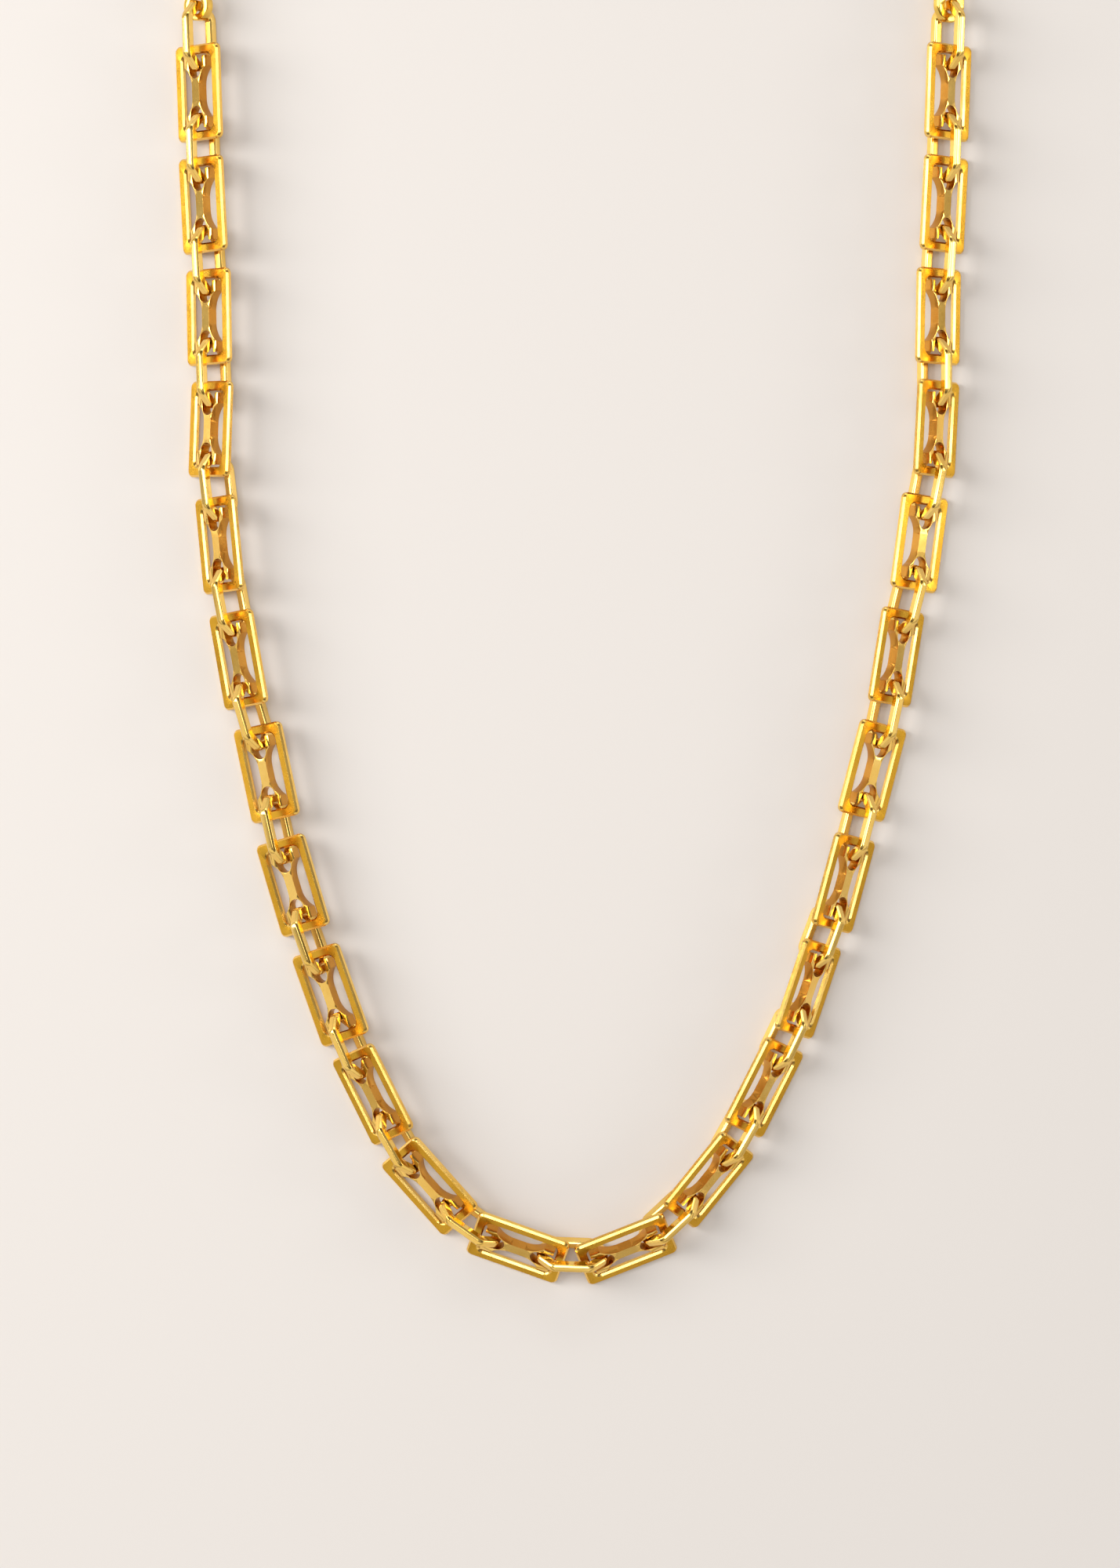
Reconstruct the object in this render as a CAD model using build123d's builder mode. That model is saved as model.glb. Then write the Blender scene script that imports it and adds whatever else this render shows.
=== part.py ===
from build123d import *
import math
import os

os.makedirs("parts", exist_ok=True)

# Chain necklace of gold-plated links, unfastened and laid out flat in a U on a table.
# Millimetres, +Z up from the table, +Y from the bottom of the U towards its two ends.
# The chain alternates two pieces: a flat rectangular frame link with a loose bow-tie spacer in its
# window, and a narrow eight-sided ring that stands across the frames and joins two of them.

# ---- driving dimensions ----
FRAME_LENGTH = 14.85          # along the chain
FRAME_WIDTH = 9.0
FRAME_BAR = 1.5               # width of the bar the frame is made of
FRAME_THICKNESS = 1.1
FRAME_OUTER_RADIUS = 0.95
FRAME_INNER_RADIUS = 1.0
FRAME_BEVEL = 0.28

SPACER_LENGTH = 11.1
SPACER_DEPTH = 1.7            # through the frame's window
SPACER_TIP_WIDTH = 4.4
SPACER_WAIST_WIDTH = 1.5
SPACER_TIP_FLAT = 1.6         # flat at each prong's outer side
SPACER_WAIST_FLAT = 2.0       # flat at the middle of each long side
SPACER_RECESS_RADIUS = 1.2
SPACER_RECESS_BOTTOM = 2.15   # distance of the recess bottom from the spacer's middle
SPACER_MOUTH_WIDTH = 3.1

RING_LENGTH = 11.0
RING_DEPTH = 7.2              # across the chain, along the frames' normal
RING_BAR = 1.6                # radial width of the ring's section
RING_THICKNESS = 1.4
RING_CORNER = 2.3             # size of the cut across each of the eight-sided ring's corners
RING_BEVEL = 0.3
RING_CORNER_ROUND = 1.6       # softens the eight corners outside
RING_INNER_ROUND = 0.5

CLASP_EYE_RADIUS = 2.3
CLASP_EYE_HOLE = 1.35
CLASP_EYE_THICKNESS = 1.5
CLASP_THICKNESS = 2.4
CLASP_HOOK_X = 7.6            # middle of the hook, from the eye's centre
CLASP_HOOK_LENGTH = 10.0
CLASP_HOOK_WIDTH = 6.4
CLASP_WINDOW_LENGTH = 6.4
CLASP_WINDOW_WIDTH = 3.0
CLASP_NECK_WIDTH = 2.8
CLASP_EDGE_ROUND = 0.35
MOUTH_START = 6.3
MOUTH_END = 10.5
MOUTH_FLOOR = 0.7
PIVOT_X = 4.9
PIVOT_Y = 1.55
PIN_RADIUS = 0.4
PIN_CLEARANCE = 0.05
HUB_RADIUS = 0.85
LEVER_SLOT_WIDTH = 1.1        # through the clasp's thickness
LEVER_TANG_THICKNESS = 0.9
LEVER_THICKNESS = 2.0
LEVER_TIP = 10.15
LEVER_HEEL = 6.45
LEVER_BAR = 1.35
THUMB_RADIUS = 0.75

TAG_HOLE_SPACING = 5.4
TAG_END_RADIUS = 2.7
TAG_CATCH_RADIUS = 1.6        # free hole that the clasp hooks into
TAG_THICKNESS = 1.3
TAG_BEVEL = 0.2

# ---- how the chain lies ----
# Each row is one frame, from the left end down to the middle and up to the right end:
# centre x, centre y, heading (degrees, 0 towards -Y, 90 towards +X) and lean of the frame's face
# away from the inside of the U.
FRAMES_BEHIND = 3             # frames above the first listed one, and above the last
FRAME_PITCH = 17.4            # spacing of those frames
LEFT_END_HEADINGS = (2.0, 3.0, 1.0)
RIGHT_END_HEADINGS = (179.0, 177.0, 178.0)
END_LEAN = 40.0
RING_UPRIGHT = 4.0            # rings stand this much more upright than the frames they join
RING_INWARD = 0.35            # and lie this much towards the inside of the U
LAY = (
    (-54.1, 55.0, -2.0, 44.0),
    (-52.7, 37.1, 5.5, 45.0),
    (-49.8, 19.3, 10.0, 40.0),
    (-45.5, 1.8, 11.8, 32.0),
    (-41.4, -15.7, 16.5, 30.0),
    (-35.6, -32.7, 19.5, 31.0),
    (-29.0, -48.1, 26.5, 39.0),
    (-20.2, -62.3, 41.8, 35.0),
    (-6.5, -71.8, 70.5, 39.0),
    (10.2, -72.0, 111.5, 42.0),
    (23.0, -61.3, 141.0, 43.0),
    (31.6, -47.0, 153.2, 43.0),
    (38.4, -31.7, 161.5, 47.0),
    (43.9, -15.3, 165.0, 44.0),
    (48.4, 2.1, 165.5, 34.0),
    (52.1, 19.7, 171.0, 42.0),
    (55.7, 37.4, 172.5, 36.0),
    (58.3, 55.1, 177.0, 44.0),
)


def heading_vector(heading):
    angle = math.radians(heading)
    return Vector(math.sin(angle), -math.cos(angle), 0)


def lay_plane(centre, heading, lean):
    # local X runs along the chain, local Z is the normal of the frames' faces
    along = heading_vector(heading)
    outward = Vector(along.Y, -along.X, 0)
    tilt = math.radians(lean)
    normal = Vector(0, 0, 1) * math.cos(tilt) + outward * math.sin(tilt)
    return Plane(origin=centre, x_dir=along, z_dir=normal)


# ---- the three repeated pieces, each about its own middle ----
with BuildPart() as frame_piece:
    with BuildSketch(Plane.XY.offset(-FRAME_THICKNESS / 2)):
        RectangleRounded(FRAME_LENGTH, FRAME_WIDTH, FRAME_OUTER_RADIUS)
        RectangleRounded(
            FRAME_LENGTH - 2 * FRAME_BAR,
            FRAME_WIDTH - 2 * FRAME_BAR,
            FRAME_INNER_RADIUS,
            mode=Mode.SUBTRACT,
        )
    extrude(amount=FRAME_THICKNESS)
    face_edges = frame_piece.edges().group_by(Axis.Z)
    chamfer(face_edges[0] + face_edges[-1], FRAME_BEVEL)

tip_x = SPACER_LENGTH / 2
tip_y = SPACER_TIP_WIDTH / 2
prong_x = tip_x - SPACER_TIP_FLAT
waist_x = SPACER_WAIST_FLAT / 2
waist_y = SPACER_WAIST_WIDTH / 2
recess_x = SPACER_RECESS_BOTTOM + SPACER_RECESS_RADIUS
with BuildPart() as spacer_piece:
    with BuildSketch(Plane.XY.offset(-SPACER_DEPTH / 2)):
        with BuildLine():
            side_rise = tip_y - waist_y
            side_run = prong_x - waist_x
            side_radius = (side_run**2 + side_rise**2) / (2 * side_rise)
            sag_angle = math.asin(side_run / side_radius) / 2
            middle = (
                waist_x + side_radius * math.sin(sag_angle),
                waist_y + side_radius * (1 - math.cos(sag_angle)),
            )
            Line((0, waist_y), (waist_x, waist_y))
            ThreePointArc((waist_x, waist_y), middle, (prong_x, tip_y))
            Line((prong_x, tip_y), (tip_x, tip_y))
            Line((tip_x, tip_y), (tip_x, SPACER_MOUTH_WIDTH / 2))
            Line((tip_x, SPACER_MOUTH_WIDTH / 2), (recess_x, SPACER_RECESS_RADIUS))
            corner = SPACER_RECESS_RADIUS * math.sqrt(0.5)
            ThreePointArc(
                (recess_x, SPACER_RECESS_RADIUS),
                (recess_x - corner, corner),
                (SPACER_RECESS_BOTTOM, 0),
            )
            Line((SPACER_RECESS_BOTTOM, 0), (0, 0))
            Line((0, 0), (0, waist_y))
        make_face()
        mirror(about=Plane.XZ)
        mirror(about=Plane.YZ)
    extrude(amount=SPACER_DEPTH)


def eight_sided(length, depth, corner_cut):
    x = length / 2
    z = depth / 2
    return (
        (x - corner_cut, z),
        (x, z - corner_cut),
        (x, corner_cut - z),
        (x - corner_cut, -z),
        (corner_cut - x, -z),
        (-x, corner_cut - z),
        (-x, z - corner_cut),
        (corner_cut - x, z),
    )


inner_corner = RING_CORNER - RING_BAR * (2 - math.sqrt(2))
with BuildPart() as ring_piece:
    with BuildSketch(Plane.XZ.offset(-RING_THICKNESS / 2)) as ring_outline:
        Polygon(*eight_sided(RING_LENGTH, RING_DEPTH, RING_CORNER), align=None)
        fillet(ring_outline.vertices(), RING_CORNER_ROUND)
        with BuildSketch(Plane.XZ.offset(-RING_THICKNESS / 2), mode=Mode.PRIVATE) as ring_hole:
            Polygon(
                *eight_sided(RING_LENGTH - 2 * RING_BAR, RING_DEPTH - 2 * RING_BAR, inner_corner),
                align=None,
            )
            fillet(ring_hole.vertices(), RING_INNER_ROUND)
        add(ring_hole.sketch_local, mode=Mode.SUBTRACT)
    extrude(amount=RING_THICKNESS)
    face_edges = ring_piece.edges().group_by(Axis.Y)
    chamfer(face_edges[0] + face_edges[-1], RING_BEVEL)


# ---- how far a piece's middle rests above the table, for a given lean ----
def frame_rest_height(lean):
    tilt = math.radians(lean)
    return FRAME_WIDTH / 2 * math.sin(tilt) + (FRAME_THICKNESS / 2 - FRAME_BEVEL) * math.cos(tilt)


def ring_rest_height(lean):
    tilt = math.radians(lean)
    return RING_DEPTH / 2 * math.cos(tilt) + (RING_THICKNESS / 2 - RING_BEVEL) * math.sin(tilt)


frame_lay = [(Vector(x, y, frame_rest_height(lean)), heading, lean) for x, y, heading, lean in LAY]
for heading in LEFT_END_HEADINGS[::-1]:
    centre = frame_lay[0][0] - heading_vector(heading) * FRAME_PITCH
    centre = Vector(centre.X, centre.Y, frame_rest_height(END_LEAN))
    frame_lay.insert(0, (centre, heading, END_LEAN))
for heading in RIGHT_END_HEADINGS:
    centre = frame_lay[-1][0] + heading_vector(heading) * FRAME_PITCH
    centre = Vector(centre.X, centre.Y, frame_rest_height(END_LEAN))
    frame_lay.append((centre, heading, END_LEAN))

# A ring's end bars sit this far from the middles of the two frames they pass through.
RING_SEAT = FRAME_PITCH / 2 - RING_LENGTH / 2 + RING_BAR / 2
RING_REACH = FRAME_PITCH / 2


def settle_ring(middle, heading, lean):
    # slides down its own depth until its back bar meets the table
    along = heading_vector(heading)
    middle = middle - Vector(along.Y, -along.X, 0) * RING_INWARD
    slide = (ring_rest_height(lean) - middle.Z) / math.cos(math.radians(lean))
    plane = lay_plane(middle, heading, lean)
    return plane.origin + plane.z_dir * slide, heading, lean


def ring_between(first, second):
    start = first[0] + heading_vector(first[1]) * RING_SEAT
    end = second[0] - heading_vector(second[1]) * RING_SEAT
    middle = (start + end) * 0.5
    run = end - start
    heading = math.degrees(math.atan2(run.X, -run.Y))
    lean = (first[2] + second[2]) / 2 - RING_UPRIGHT
    return settle_ring(middle, heading, lean)


def end_ring(frame, side):
    middle = frame[0] + heading_vector(frame[1]) * RING_REACH * side
    return settle_ring(middle, frame[1], frame[2] - RING_UPRIGHT)


ring_lay = [end_ring(frame_lay[0], -1)]
for first, second in zip(frame_lay, frame_lay[1:]):
    ring_lay.append(ring_between(first, second))
ring_lay.append(end_ring(frame_lay[-1], 1))

# ---- the clasp, drawn about the centre of its eye, local X away from the chain ----
with BuildPart() as clasp_piece:
    with BuildSketch(Plane.XY.offset(-CLASP_THICKNESS / 2)):
        with Locations((CLASP_HOOK_X, 0)):
            Ellipse(CLASP_HOOK_LENGTH / 2, CLASP_HOOK_WIDTH / 2)
            Ellipse(CLASP_WINDOW_LENGTH / 2, CLASP_WINDOW_WIDTH / 2, mode=Mode.SUBTRACT)
    extrude(amount=CLASP_THICKNESS)
    fillet(clasp_piece.faces().filter_by(Axis.Z).edges(), CLASP_EDGE_ROUND)
    with BuildSketch(Plane.XY.offset(-CLASP_EYE_THICKNESS / 2)):
        Circle(CLASP_EYE_RADIUS)
        with Locations((CLASP_EYE_RADIUS, 0)):
            Rectangle(CLASP_EYE_RADIUS, CLASP_NECK_WIDTH)
    extrude(amount=CLASP_EYE_THICKNESS)
    with BuildSketch(Plane.XY.offset(-CLASP_THICKNESS)):
        Circle(CLASP_EYE_HOLE)
        with Locations(((MOUTH_START + MOUTH_END) / 2, MOUTH_FLOOR + CLASP_HOOK_WIDTH / 2)):
            Rectangle(MOUTH_END - MOUTH_START, CLASP_HOOK_WIDTH)
        with Locations((PIVOT_X, PIVOT_Y)):
            Circle(PIN_RADIUS)
    extrude(amount=2 * CLASP_THICKNESS, mode=Mode.SUBTRACT)
    slot_start = PIVOT_X - HUB_RADIUS - 0.15
    slot_floor = PIVOT_Y - HUB_RADIUS - 0.1
    with BuildSketch(Plane.XY.offset(-LEVER_SLOT_WIDTH / 2)):
        with Locations(((slot_start + LEVER_HEEL) / 2, slot_floor + CLASP_HOOK_WIDTH / 2)):
            Rectangle(LEVER_HEEL - slot_start, CLASP_HOOK_WIDTH)
    extrude(amount=LEVER_SLOT_WIDTH, mode=Mode.SUBTRACT)

with BuildPart() as lever_piece:
    with BuildSketch(Plane.XY.offset(-LEVER_THICKNESS / 2)):
        with Locations((CLASP_HOOK_X, 0)):
            Ellipse(CLASP_HOOK_LENGTH / 2, CLASP_HOOK_WIDTH / 2)
            Ellipse(
                CLASP_HOOK_LENGTH / 2 - LEVER_BAR,
                CLASP_HOOK_WIDTH / 2 - LEVER_BAR,
                mode=Mode.SUBTRACT,
            )
        with Locations(((LEVER_HEEL + LEVER_TIP) / 2, MOUTH_FLOOR + CLASP_HOOK_WIDTH / 2)):
            Rectangle(LEVER_TIP - LEVER_HEEL, CLASP_HOOK_WIDTH, mode=Mode.INTERSECT)
    extrude(amount=LEVER_THICKNESS)
    with BuildSketch(Plane.XY.offset(-LEVER_TANG_THICKNESS / 2)):
        with Locations((PIVOT_X, PIVOT_Y)):
            Circle(HUB_RADIUS)
        with BuildLine():
            Polyline(
                (PIVOT_X, PIVOT_Y - 0.3),
                (LEVER_HEEL + 0.4, CLASP_HOOK_WIDTH / 2 - LEVER_BAR + 0.1),
                (LEVER_HEEL + 0.4, CLASP_HOOK_WIDTH / 2 - 0.15),
                (PIVOT_X, PIVOT_Y + HUB_RADIUS),
                (PIVOT_X, PIVOT_Y - 0.3),
            )
        make_face()
        with Locations((LEVER_HEEL + 0.2, CLASP_HOOK_WIDTH / 2 + 0.1)):
            Circle(THUMB_RADIUS)
        with Locations((PIVOT_X, PIVOT_Y)):
            Circle(PIN_RADIUS + PIN_CLEARANCE, mode=Mode.SUBTRACT)
    extrude(amount=LEVER_TANG_THICKNESS)

with BuildPart() as pin_piece:
    with BuildSketch(Plane.XY.offset(-CLASP_THICKNESS / 2 + CLASP_EDGE_ROUND)):
        with Locations((PIVOT_X, PIVOT_Y)):
            Circle(PIN_RADIUS)
    extrude(amount=CLASP_THICKNESS - 2 * CLASP_EDGE_ROUND)

with BuildPart() as tag_piece:
    with BuildSketch(Plane.XY.offset(-TAG_THICKNESS / 2)):
        with Locations((TAG_HOLE_SPACING / 2, 0)):
            SlotCenterToCenter(TAG_HOLE_SPACING, 2 * TAG_END_RADIUS)
        Circle(CLASP_EYE_HOLE, mode=Mode.SUBTRACT)
        with Locations((TAG_HOLE_SPACING, 0)):
            Circle(TAG_CATCH_RADIUS, mode=Mode.SUBTRACT)
    extrude(amount=TAG_THICKNESS)
    flat_faces = tag_piece.faces().filter_by(Axis.Z)
    rims = [face.outer_wire().edges() for face in flat_faces]
    chamfer(rims[0] + rims[1], TAG_BEVEL)


def end_plane(ring, side):
    # at the middle of the end ring's outer bar, local X pointing away from the chain
    plane = lay_plane(ring[0], ring[1], ring[2])
    seat = plane.origin + plane.x_dir * (side * (RING_LENGTH - RING_BAR) / 2)
    return Plane(origin=seat, x_dir=plane.x_dir * side, z_dir=plane.z_dir)


# ---- every piece in its place, centred over the origin and resting on z = 0 ----
placed = []
for centre, heading, lean in frame_lay:
    plane = lay_plane(centre, heading, lean)
    placed.append((f"frame_link_{len(placed) + 1:02d}", (frame_piece, spacer_piece), plane))
for number, (centre, heading, lean) in enumerate(ring_lay):
    placed.append((f"ring_{number:02d}", (ring_piece,), lay_plane(centre, heading, lean)))
clasp_plane = end_plane(ring_lay[0], -1)
placed.append(("clasp_body", (clasp_piece,), clasp_plane))
placed.append(("clasp_lever", (lever_piece,), clasp_plane))
placed.append(("clasp_pin", (pin_piece,), clasp_plane))
placed.append(("end_tag", (tag_piece,), end_plane(ring_lay[-1], 1)))

everything = Compound(children=[
    piece.part.moved(plane.location) for name, pieces, plane in placed for piece in pieces
])
footprint = everything.bounding_box()
shift = Location((-footprint.center().X, -footprint.center().Y, -footprint.min.Z))

for name, pieces, plane in placed:
    with BuildPart() as node:
        for piece in pieces:
            add(piece.part.moved(shift * plane.location))
    node.part.label = name
    export_step(node.part, f"parts/{name}.step")
print("size", footprint.size, "shift", shift.position)
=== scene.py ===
import math
import bpy
import numpy as np
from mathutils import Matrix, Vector

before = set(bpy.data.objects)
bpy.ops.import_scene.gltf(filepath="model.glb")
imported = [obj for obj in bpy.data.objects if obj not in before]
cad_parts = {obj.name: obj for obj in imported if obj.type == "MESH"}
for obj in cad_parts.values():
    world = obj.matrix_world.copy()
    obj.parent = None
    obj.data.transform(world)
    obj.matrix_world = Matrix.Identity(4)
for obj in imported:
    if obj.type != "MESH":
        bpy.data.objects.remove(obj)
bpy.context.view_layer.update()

# Gold chain necklace laid out flat in a U on a pale table, seen from straight above.
# Metres, in the CAD's own frame: +Z up from the table, +Y from the bottom of the U to its ends.

EDGE_ROUND = 0.00007          # polished-over edges of the stamped pieces
EDGE_ANGLE = math.radians(22)  # edges sharper than this are rounded
WELD_DISTANCE = 1e-6
SPACER_REACH_ACROSS = 0.0024  # faces nearer a frame link's middle than both of these
SPACER_REACH_ALONG = 0.0057   # belong to its spacer, and the others to its frame
SWELL_HEIGHT = 0.00002        # slow unevenness of the stamped faces
GRAIN_HEIGHT = 0.000006
HAIR_HEIGHT = 0.000003
TABLE_SIZE = 8.0
WORLD_STRENGTH = 0.78
AIM = (-0.00206, -0.02772)    # the table point under the lens
VIEW_HEIGHT = 0.9
SEEN_LENGTH = 0.2439          # table length the long side of the picture covers
SENSOR_WIDTH = 36.0           # millimetres, like the lens


# ---------------------------------------------------------------- materials
def tree_of(name):
    mat = bpy.data.materials.new(name)
    mat.use_nodes = True
    tree = mat.node_tree
    tree.nodes.clear()
    return mat, tree


def node(tree, kind, **values):
    made = tree.nodes.new(kind)
    for key, value in values.items():
        if key in made.inputs:
            made.inputs[key].default_value = value
        else:
            setattr(made, key, value)
    return made


def ramp(tree, source, stops):
    made = tree.nodes.new("ShaderNodeValToRGB")
    elements = made.color_ramp.elements
    elements[0].position, elements[0].color = stops[0]
    elements[1].position, elements[1].color = stops[-1]
    for position, color in stops[1:-1]:
        elements.new(position).color = color
    tree.links.new(source, made.inputs["Fac"])
    return made


def grey(value):
    return (value, value, value, 1.0)


def noise(tree, where, **values):
    made = node(tree, "ShaderNodeTexNoise", **values)
    tree.links.new(where, made.inputs["Vector"])
    return made


def hairlines(tree, where, stretch, turn, detail, roughness, half_width):
    # stretched noise, with only its middle values kept, leaves thin lines
    stretched = node(tree, "ShaderNodeMapping", Scale=stretch, Rotation=turn)
    tree.links.new(where, stretched.inputs["Vector"])
    hair = noise(tree, stretched.outputs["Vector"],
                 Scale=1.0, Detail=detail, Roughness=roughness)
    stops = [(0.50 - half_width, grey(1.0)), (0.50, grey(0.0)), (0.50 + half_width, grey(1.0))]
    return ramp(tree, hair.outputs["Fac"], stops)


def bump(tree, height, strength, distance, under=None):
    made = node(tree, "ShaderNodeBump", Strength=strength, Distance=distance)
    tree.links.new(height, made.inputs["Height"])
    if under is not None:
        tree.links.new(under.outputs["Normal"], made.inputs["Normal"])
    return made


def gold(name, light, deep, rough_low, rough_high, grain, scratch, seed):
    # plating colour drifts slowly, polish varies, hairlines cross it, tarnish gathers in spots
    mat, tree = tree_of(name)
    link = tree.links.new
    coord = node(tree, "ShaderNodeTexCoord")
    move = node(tree, "ShaderNodeMapping", Location=(seed, seed * 0.7, seed * 1.3))
    link(coord.outputs["Object"], move.inputs["Vector"])
    where = move.outputs["Vector"]

    drift = noise(tree, where, Scale=140.0, Detail=4.0, Roughness=0.6)
    shade = ramp(tree, drift.outputs["Fac"], [(0.30, (*deep, 1.0)), (0.62, (*light, 1.0))])

    spots = noise(tree, where, Scale=900.0, Detail=6.0, Roughness=0.7)
    spot_mask = ramp(tree, spots.outputs["Fac"], [(0.62, grey(0.0)), (0.80, grey(1.0))])
    tarnish = node(tree, "ShaderNodeMix", data_type="RGBA", blend_type="MULTIPLY")
    tarnish.inputs[7].default_value = (0.90, 0.80, 0.66, 1.0)
    link(spot_mask.outputs["Color"], tarnish.inputs[0])
    link(shade.outputs["Color"], tarnish.inputs[6])

    haze = noise(tree, where, Scale=420.0, Detail=5.0, Roughness=0.65)
    rough = ramp(tree, haze.outputs["Fac"], [(0.30, grey(rough_low)), (0.72, grey(rough_high))])

    hairs = hairlines(tree, where, (9000.0, 700.0, 5000.0), (0.3, 0.2, 0.5), 3.0, 0.55, 0.03)
    crossing = hairlines(tree, where, (800.0, 8000.0, 6000.0), (0.1, 0.4, -0.7), 2.0, 0.5, 0.02)
    fine = noise(tree, where, Scale=5200.0, Detail=4.0, Roughness=0.6)
    swell = noise(tree, where, Scale=230.0, Detail=2.0)

    relief = bump(tree, swell.outputs["Fac"], 0.25, SWELL_HEIGHT)
    relief = bump(tree, fine.outputs["Fac"], grain, GRAIN_HEIGHT, relief)
    relief = bump(tree, hairs.outputs["Color"], scratch, HAIR_HEIGHT, relief)
    relief = bump(tree, crossing.outputs["Color"], scratch, HAIR_HEIGHT, relief)

    surface = node(tree, "ShaderNodeBsdfPrincipled", Metallic=1.0)
    link(tarnish.outputs[2], surface.inputs["Base Color"])
    link(rough.outputs["Color"], surface.inputs["Roughness"])
    link(relief.outputs["Normal"], surface.inputs["Normal"])
    out = node(tree, "ShaderNodeOutputMaterial")
    link(surface.outputs["BSDF"], out.inputs["Surface"])
    return mat


LIGHT_GOLD = (0.97, 0.64, 0.18)
DEEP_GOLD = (0.88, 0.52, 0.10)
frame_satin = gold(
    "frame_satin_gold", light=(0.74, 0.405, 0.040), deep=(0.64, 0.335, 0.028),
    rough_low=0.22, rough_high=0.34, grain=0.35, scratch=0.3, seed=0.11)
frame_polish = gold(
    "frame_polished_gold", light=LIGHT_GOLD, deep=DEEP_GOLD,
    rough_low=0.15, rough_high=0.26, grain=0.12, scratch=0.2, seed=0.23)
spacer_polish = gold(
    "spacer_polished_gold", light=LIGHT_GOLD, deep=DEEP_GOLD,
    rough_low=0.06, rough_high=0.13, grain=0.10, scratch=0.18, seed=0.37)
# the spacer's side walls: the same gold made darker and browner, painted shade where the walls
# sit down between the frame's bars
spacer_side_painted_shade = gold(
    "spacer_side_gold", light=(0.66, 0.32, 0.055), deep=(0.50, 0.20, 0.025),
    rough_low=0.14, rough_high=0.26, grain=0.2, scratch=0.25, seed=0.43)
# the ring's inner walls: the same gold made darker and browner, painted shade inside the ring
# where its walls face each other
ring_inside_painted_shade = gold(
    "ring_inside_gold", light=(0.74, 0.39, 0.075), deep=(0.60, 0.27, 0.04),
    rough_low=0.12, rough_high=0.24, grain=0.2, scratch=0.25, seed=0.59)
ring_polish = gold(
    "ring_polished_gold", light=(0.97, 0.66, 0.19), deep=(0.90, 0.56, 0.12),
    rough_low=0.07, rough_high=0.15, grain=0.12, scratch=0.2, seed=0.51)
clasp_polish = gold(
    "clasp_polished_gold", light=(0.94, 0.64, 0.14), deep=(0.84, 0.51, 0.08),
    rough_low=0.08, rough_high=0.18, grain=0.15, scratch=0.22, seed=0.67)


# ---------------------------------------------------------------- the chain's pieces
def local_axes(obj):
    # the flat faces carry the most area, so they give the normal;
    # the longest reach gives the length
    polygons = obj.data.polygons
    normals = np.array([p.normal for p in polygons])
    areas = np.array([p.area for p in polygons])
    best = max(range(len(polygons)),
               key=lambda i: areas[np.abs(normals @ normals[i]) > 0.999].sum())
    normal = normals[best] / np.linalg.norm(normals[best])
    points = np.array([v.co for v in obj.data.vertices])
    middle = (points.min(0) + points.max(0)) / 2
    flat = points - middle
    flat = flat - np.outer(flat @ normal, normal)
    vectors = np.linalg.eigh(flat.T @ flat)[1]
    along = vectors[:, 2]
    return middle, along, np.cross(normal, along), normal


def finish_edges(obj):
    weld = obj.modifiers.new("weld", "WELD")
    weld.merge_threshold = WELD_DISTANCE
    bevel = obj.modifiers.new("edge_round", "BEVEL")
    bevel.width = EDGE_ROUND
    bevel.segments = 2
    bevel.limit_method = "ANGLE"
    bevel.angle_limit = EDGE_ANGLE
    bevel.use_clamp_overlap = True
    bevel.harden_normals = False
    even = obj.modifiers.new("even_shading", "WEIGHTED_NORMAL")
    even.weight = 60
    even.keep_sharp = False


def dress(obj, mats):
    obj.data.materials.clear()
    for mat in mats:
        obj.data.materials.append(mat)


for name, obj in sorted(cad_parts.items()):
    if name.startswith("frame_link"):
        middle, along, across, normal = local_axes(obj)
        dress(obj, (frame_polish, frame_satin, spacer_polish, spacer_side_painted_shade))
        for polygon in obj.data.polygons:
            offset = np.array(polygon.center) - middle
            on_spacer = (abs(offset @ across) < SPACER_REACH_ACROSS
                         and abs(offset @ along) < SPACER_REACH_ALONG)
            face_on = abs(np.array(polygon.normal) @ normal) > 0.98
            if on_spacer:
                # face-on spacer faces take the polished gold, its side walls the darker
                # painted-shade gold
                polygon.material_index = 2 if face_on else 3
            else:
                polygon.material_index = 1 if face_on else 0
    elif name.startswith("ring"):
        middle, _, _, normal = local_axes(obj)
        dress(obj, (ring_polish, ring_inside_painted_shade))
        for polygon in obj.data.polygons:
            facing = np.array(polygon.normal)
            inward = (np.array(polygon.center) - middle) @ facing < 0
            # inward-facing side walls of the ring take the darker painted-shade gold, all other
            # faces the polished gold
            polygon.material_index = 1 if inward and abs(facing @ normal) < 0.5 else 0
    else:
        dress(obj, (clasp_polish,))
        for polygon in obj.data.polygons:
            polygon.material_index = 0
    for polygon in obj.data.polygons:
        polygon.use_smooth = True
    finish_edges(obj)


# ---------------------------------------------------------------- table, light, camera
table_mat, tree = tree_of("pale_table")
surface = node(tree, "ShaderNodeBsdfPrincipled", Roughness=0.45)
surface.inputs["Base Color"].default_value = (0.81, 0.77, 0.74, 1.0)
surface.inputs["Specular IOR Level"].default_value = 0.3
out = node(tree, "ShaderNodeOutputMaterial")
tree.links.new(surface.outputs["BSDF"], out.inputs["Surface"])
bpy.ops.mesh.primitive_plane_add(size=TABLE_SIZE, location=(0, 0, 0))
table = bpy.context.object
table.name = "table"
table.data.materials.append(table_mat)


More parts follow.
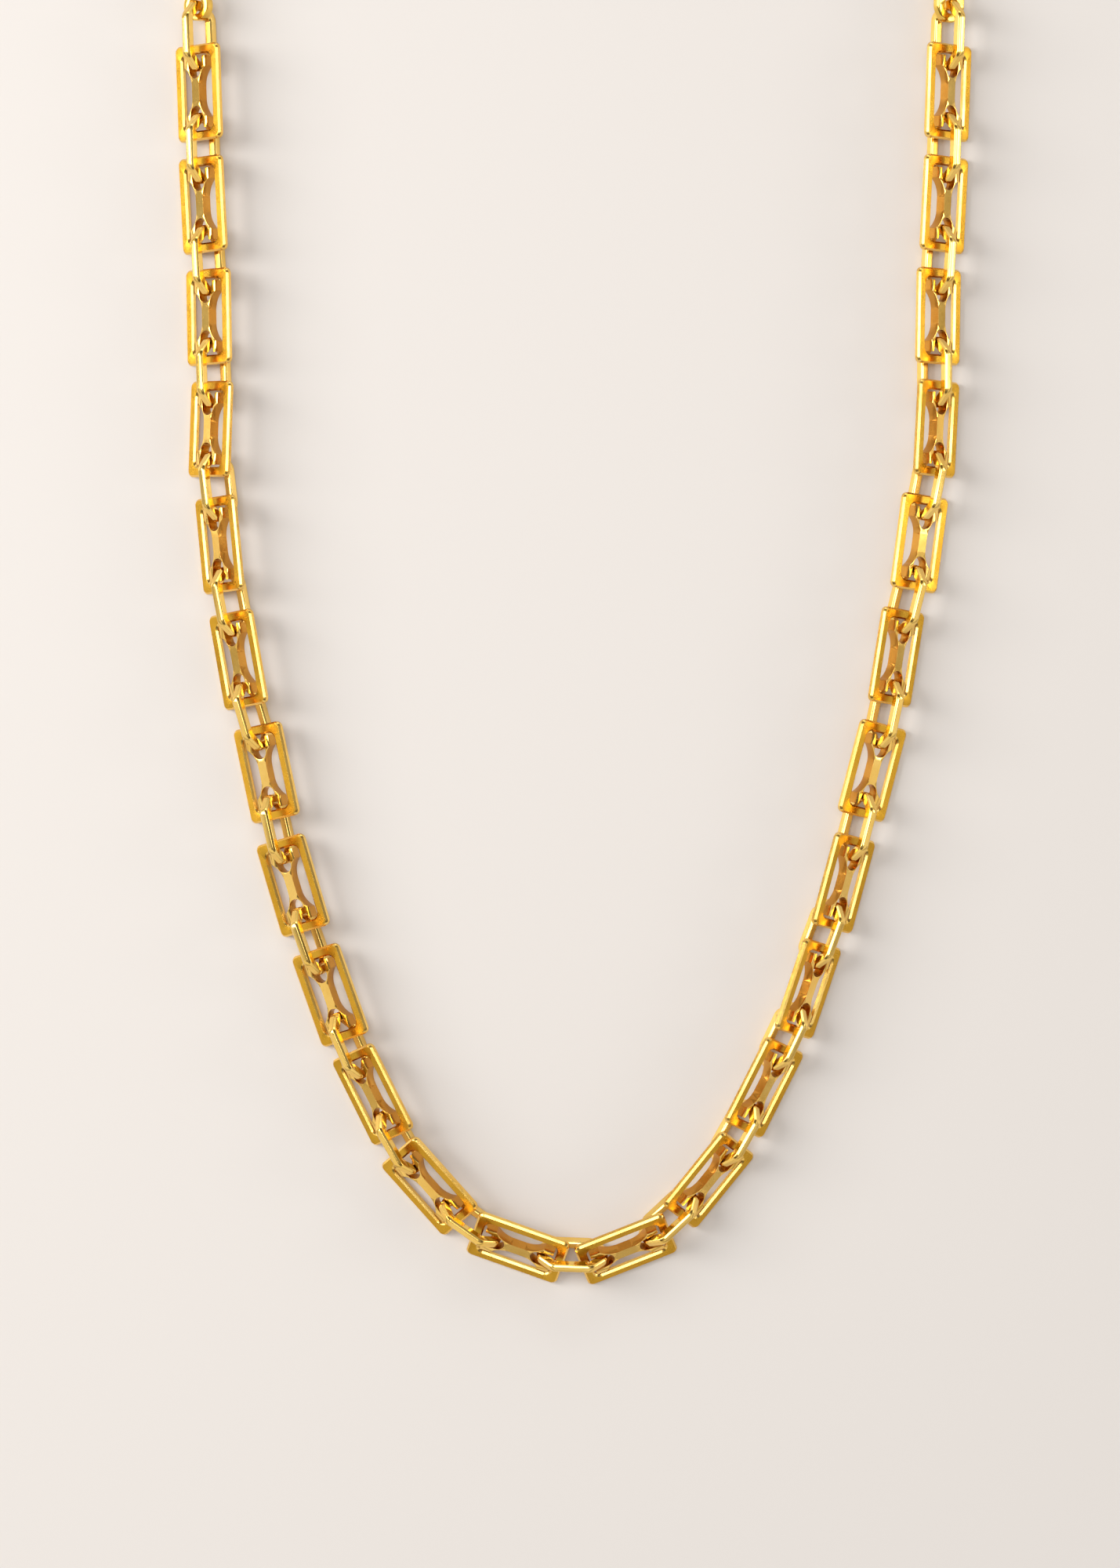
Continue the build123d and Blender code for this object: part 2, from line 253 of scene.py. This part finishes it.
def softbox(name, place, size, power, tint):
    data = bpy.data.lights.new(name, "AREA")
    data.shape = "RECTANGLE"
    data.size, data.size_y = size
    data.energy = power
    data.color = tint
    lamp = bpy.data.objects.new(name, data)
    bpy.context.scene.collection.objects.link(lamp)
    lamp.location = place
    lamp.rotation_mode = "QUATERNION"
    lamp.rotation_quaternion = (Vector((0, 0, 0)) - Vector(place)).to_track_quat("-Z", "Y")


softbox("window_left", (-0.80, 0.20, 0.60), (0.40, 0.80), 7.5, (1.0, 0.985, 0.96))
softbox("overhead", (-0.12, 0.12, 1.50), (0.50, 0.50), 4.2, (1.0, 1.0, 1.0))
softbox("low_right", (0.95, 0.10, 0.30), (0.30, 0.16), 0.8, (1.0, 0.99, 0.97))
softbox("far_end", (0.10, 1.00, 0.55), (0.70, 0.22), 0.9, (1.0, 1.0, 1.0))

world = bpy.data.worlds.new("studio")
bpy.context.scene.world = world
world.use_nodes = True
sky_tree = world.node_tree
sky_tree.nodes.clear()
coord = node(sky_tree, "ShaderNodeTexCoord")
split = node(sky_tree, "ShaderNodeSeparateXYZ")
sky_tree.links.new(coord.outputs["Generated"], split.inputs["Vector"])
sky = ramp(sky_tree, split.outputs["Z"], [
    (0.00, (0.62, 0.58, 0.52, 1)), (0.10, (0.55, 0.52, 0.48, 1)), (0.26, (1.15, 1.12, 1.06, 1)),
    (0.50, (1.20, 1.18, 1.14, 1)), (0.64, (0.16, 0.13, 0.10, 1)), (0.82, (0.22, 0.20, 0.18, 1)),
    (1.00, (0.70, 0.70, 0.70, 1)),
])
back = node(sky_tree, "ShaderNodeBackground", Strength=WORLD_STRENGTH)
sky_tree.links.new(sky.outputs["Color"], back.inputs["Color"])
world_out = node(sky_tree, "ShaderNodeOutputWorld")
sky_tree.links.new(back.outputs["Background"], world_out.inputs["Surface"])

camera_data = bpy.data.cameras.new("camera")
camera_data.sensor_width = SENSOR_WIDTH
camera_data.lens = SENSOR_WIDTH * VIEW_HEIGHT / SEEN_LENGTH
camera_data.dof.use_dof = False
camera_data.clip_start = 0.05
camera = bpy.data.objects.new("camera", camera_data)
bpy.context.scene.collection.objects.link(camera)
camera.location = (AIM[0], AIM[1], VIEW_HEIGHT)
bpy.context.scene.camera = camera
bpy.context.scene.view_settings.view_transform = "Standard"
